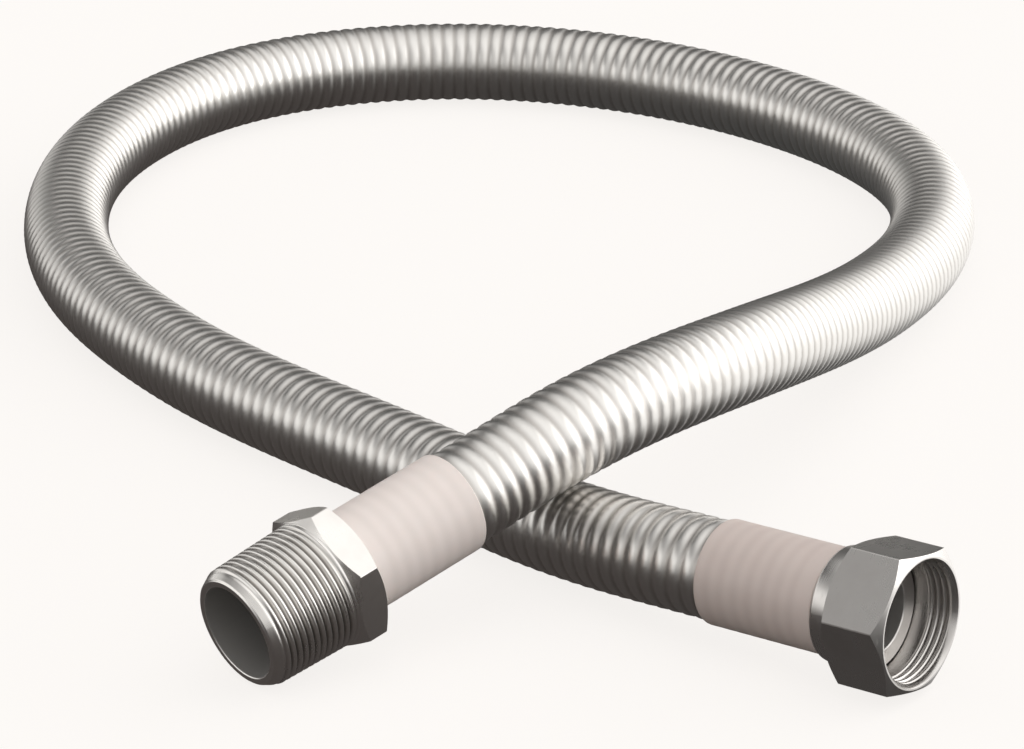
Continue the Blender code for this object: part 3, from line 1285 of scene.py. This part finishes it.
@dataclass(frozen=True)
class Softbox:
    """Oblong studio lamp that faces the object."""

    name: str
    azimuth: float
    height: float
    distance: float
    size: tuple[float, float]
    power: float

    def build(self) -> bpy.types.Object:
        """Make the lamp.

        Returns:
            The lamp, aimed at the object.
        """
        data = bpy.data.lights.new(self.name, "AREA")
        data.shape = "RECTANGLE"
        data.size, data.size_y = self.size
        data.energy = self.power
        lamp = linked(self.name, data)
        lamp.location = level_axis(self.azimuth) * self.distance + Vector((0.0, 0.0, self.height))
        aim(lamp, -lamp.location)
        return lamp


@dataclass(frozen=True)
class Panel:
    """Patch of the room with soft edges, paler or darker than the room behind it.

    Angles are in degrees, and azimuths run from the camera's side towards its right.
    """

    azimuth: float
    half_width: float
    low: float
    high: float
    strength: float
    soft_sides: float
    soft_edge: float
    near_zero: float = 0.0001

    def light(self, graph: Graph, direction: Wire, height: Wire) -> Wire:
        """How much the panel adds to the room in a direction.

        Args:
            graph: The world's graph.
            direction: The direction that is looked in.
            height: Sine of its elevation.

        Returns:
            The added light, which is negative for a darker patch.
        """
        level = (1.0 - height * height + self.near_zero) ** 0.5
        facing = graph.towards(direction, level_axis(self.azimuth)) / level
        full = math.cos(math.radians(self.half_width))
        none = math.cos(math.radians(self.half_width + self.soft_sides))
        sides = ((facing - none) / (full - none)).clamped()
        bottom = math.sin(math.radians(self.low))
        top = math.sin(math.radians(self.high))
        above = ((height - bottom) / self.soft_edge + 0.5).clamped()
        below = ((top - height) / self.soft_edge + 0.5).clamped()
        return sides * above * below * self.strength


@dataclass
class Studio:
    """Pale floor, white surroundings and a soft, mostly even light."""

    seen: Colour = (1.0, 0.973, 0.947)
    warmth: Colour = (1.0, 0.985, 0.965)
    floor_size: float = 8.0
    floor_lit_share: float = 0.14
    floor_near: Colour = (0.066, 0.058, 0.055)
    far_azimuth: float = 100.0
    far_start: float = -0.01
    far_stop: float = 0.09
    bounce: Colour = (0.24, 0.23, 0.22)
    darkest: float = 0.03
    room: tuple[tuple[float, float], ...] = (
        (0.0, 0.058),
        (0.18, 0.062),
        (0.33, 0.085),
        (0.42, 0.12),
        (0.50, 0.26),
        (0.55, 0.40),
        (0.62, 0.60),
        (0.71, 0.68),
        (0.82, 0.66),
        (0.90, 0.70),
        (1.0, 1.0),
    )
    panels: tuple[Panel, ...] = (
        Panel(azimuth=-158, half_width=34, low=8, high=44, strength=-0.56, soft_sides=14, soft_edge=0.14),
        Panel(azimuth=-178, half_width=14, low=-16, high=10, strength=-0.60, soft_sides=8, soft_edge=0.10),
        Panel(azimuth=-98, half_width=24, low=30, high=56, strength=-0.36, soft_sides=35, soft_edge=0.16),
        Panel(azimuth=-106, half_width=44, low=-4, high=27, strength=0.58, soft_sides=18, soft_edge=0.20),
        Panel(azimuth=70, half_width=45, low=10, high=60, strength=0.45, soft_sides=35, soft_edge=0.25),
        Panel(azimuth=119, half_width=42, low=-34, high=24, strength=1.10, soft_sides=12, soft_edge=0.30),
    )
    lamps: tuple[Softbox, ...] = (
        Softbox("key", azimuth=100, height=0.8, distance=1.4, size=(2.2, 1.3), power=4.5),
        Softbox("top", azimuth=20, height=1.8, distance=0.5, size=(1.6, 1.6), power=1.2),
    )

    def build(self) -> None:
        """Make the floor, the surroundings and the lamps."""
        self._floor()
        self._surroundings()
        for lamp in self.lamps:
            lamp.build()
        bpy.context.scene.view_settings.view_transform = "Standard"
        LOG.info("studio: %d lamps", len(self.lamps))

    def _floor(self) -> None:
        """Floor that is seen white with the object's soft shadow, and mirrored dark near the fittings."""
        half = self.floor_size / 2
        mesh = bpy.data.meshes.new("floor")
        corners = [(-half, -half, 0.0), (half, -half, 0.0), (half, half, 0.0), (-half, half, 0.0)]
        mesh.from_pydata(corners, [], [(0, 1, 2, 3)])
        floor = linked("floor", mesh)
        material = bpy.data.materials.new("floor")
        material.use_nodes = True
        graph = Graph(material.node_tree)
        graph.tree.nodes.clear()
        lit = tuple(channel * self.floor_lit_share for channel in self.seen)
        glow = tuple(channel * (1 - self.floor_lit_share) for channel in self.seen)
        lit_part = self._plain(graph, "ShaderNodeBsdfDiffuse", lit)
        glow_part = self._plain(graph, "ShaderNodeEmission", glow)
        seen = self._mix(graph, "ShaderNodeAddShader", {0: lit_part, 1: glow_part})
        position = graph.wire(graph.node("ShaderNodeNewGeometry"), "Position")
        reach = graph.towards(position, level_axis(self.far_azimuth))
        share = ((reach - self.far_start) / (self.far_stop - self.far_start)).clamped()
        clear = graph.wire(graph.node("ShaderNodeBsdfTransparent"))
        near = self._plain(graph, "ShaderNodeEmission", self.floor_near)
        mirrored = self._mix(graph, "ShaderNodeMixShader", {0: share, 1: near, 2: clear})
        paths = graph.node("ShaderNodeLightPath")
        is_glossy = graph.wire(paths, "Is Glossy Ray")
        is_seen = graph.wire(paths, "Is Camera Ray")
        bounce = self._plain(graph, "ShaderNodeBsdfDiffuse", self.bounce)
        unseen = self._mix(graph, "ShaderNodeMixShader", {0: is_glossy, 1: bounce, 2: mirrored})
        surface = self._mix(graph, "ShaderNodeMixShader", {0: is_seen, 1: unseen, 2: seen})
        graph.node("ShaderNodeOutputMaterial", None, {"Surface": surface})
        mesh.materials.append(material)

    @staticmethod
    def _mix(graph: Graph, kind: str, sockets: Mapping[int, Wire]) -> Wire:
        """Two shaders made into one."""
        return graph.wire(graph.node(kind, None, sockets))

    @staticmethod
    def _plain(graph: Graph, kind: str, colour: Colour) -> Wire:
        """Shader of one colour."""
        return graph.wire(graph.node(kind, None, {"Color": (*colour, 1.0)}))

    def _surroundings(self) -> None:
        """World that is seen white, and mirrored as a room with pale and dark parts."""
        world = bpy.data.worlds.new("surroundings")
        bpy.context.scene.world = world
        world.use_nodes = True
        graph = Graph(world.node_tree)
        graph.tree.nodes.clear()
        direction = graph.wire(graph.node("ShaderNodeTexCoord"), "Generated")
        height = graph.wire(graph.node("ShaderNodeSeparateXYZ", None, {0: direction}), "Z")
        stops = [(place, (value, value, value)) for place, value in self.room]
        ramp = graph.node("ShaderNodeValToRGB", {"stops": stops}, {0: height * 0.5 + 0.5})
        light = graph.wire(ramp)
        for panel in self.panels:
            light = light + panel.light(graph, direction, height)
        light = graph.maths("MAXIMUM", light, self.darkest)
        paths = graph.node("ShaderNodeLightPath")
        seen = (graph.wire(paths, "Is Camera Ray") + graph.wire(paths, "Is Transmission Ray")).clamped()
        sockets = {
            "Color": graph.blend(seen, self.warmth, self.seen),
            "Strength": seen + (1 - seen) * light,
        }
        backdrop = graph.wire(graph.node("ShaderNodeBackground", None, sockets))
        graph.node("ShaderNodeOutputWorld", None, {"Surface": backdrop})


def nipple_end(record: Mapping[str, object]) -> HoseEnd:
    """Frame of the nipple's mouth, from the mount on its end face.

    Args:
        record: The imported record.

    Returns:
        The frame.
    """
    mount = next(m for m in record["mounts"] if m["name"] == "nipple_mouth")
    axis = Vector(mount["axis"]).normalized()
    sideways = axis.cross(Vector((0.0, 0.0, 1.0))).normalized()
    mount_radius = 10.75 * MM
    return HoseEnd(Vector(mount["pos_m"]) - sideways * mount_radius, axis)


def nut_end(joints: Sequence[Mapping[str, object]]) -> HoseEnd:
    """Frame of the nut's mouth, from the joint that the nut turns on.

    Args:
        joints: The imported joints.

    Returns:
        The frame.
    """
    swivel = next(joint for joint in joints if joint["name"] == "nut_swivel")
    return HoseEnd(Vector(swivel["pos_m"]), Vector(swivel["axis"]).normalized())


def main() -> None:
    """Build the camera, the hose, its fittings and the studio."""
    logging.basicConfig(level=logging.INFO, format="%(name)s %(message)s")
    Viewpoint().build()
    male, female = nipple_end(frame["record"]), nut_end(frame["joints"])
    nipple = Nipple(male)
    nut = UnionNut(female)
    tail = TailPiece(female, nut)
    route = Route(
        male.point(nipple.weld - SEAT_GAP),
        -np.array(male.axis),
        female.point(tail.weld - SEAT_GAP),
        np.array(female.axis),
    )
    tube = CorrugatedTube(route)
    hose = install(tube.build(RolledSteel().material()), "hose", "corrugated_hose")
    # Painted light: the nipple gets a paler copy of the machined steel, so its thread crests look brighter
    # lit.
    nipple_steel_painted_bright = MachinedSteel(
        "nipple_steel_painted_bright", nipple.bore_radius, colour=(0.92, 0.90, 0.87), shade=(0.70, 0.66, 0.63)
    )
    install(nipple.build(nipple_steel_painted_bright.material()), "hose", "male_nipple")
    tail_steel = MachinedSteel("tail_steel", tail.bore_radius)
    tail_obj = install(tail.build(tail_steel.material()), "hose", "tail_piece")
    # The nut's thread roots get a lighter painted shade.
    nut_steel = MachinedSteel("nut_steel", nut.hole_radius, thread_root_painted_shade=(0.26, 0.24, 0.225))
    nut_obj = install(nut.build(nut_steel.material()), "nut", "union_nut")
    male_film = ShrinkFilm("male_film", pale=(0.93, 0.83, 0.79), mottle_and_painted_shade=(0.80, 0.71, 0.67))
    # Painted shade: the sleeve at the nut gets a darker copy of the same film.
    female_film_painted_shade = ShrinkFilm("female_film_painted_shade", pale=(0.72, 0.62, 0.58), mottle_and_painted_shade=(0.59, 0.49, 0.46))
    male_sleeve = Sleeve(male, "male_film_sleeve", nipple.back - SEAT_GAP, nipple.weld)
    install(male_sleeve.build(male_film.material()), "hose", "male_sleeve")
    female_sleeve = Sleeve(female, "female_film_sleeve", nut.back - SEAT_GAP, tail.weld)
    sleeve_obj = install(female_sleeve.build(female_film_painted_shade.material()), "hose", "female_sleeve")
    marks, _ = tube.marks()
    2 * tube.wave.crest_radius
    tube.centres(marks[::4]).tolist()
    Studio().build()


if __name__ == "__main__":
    main()
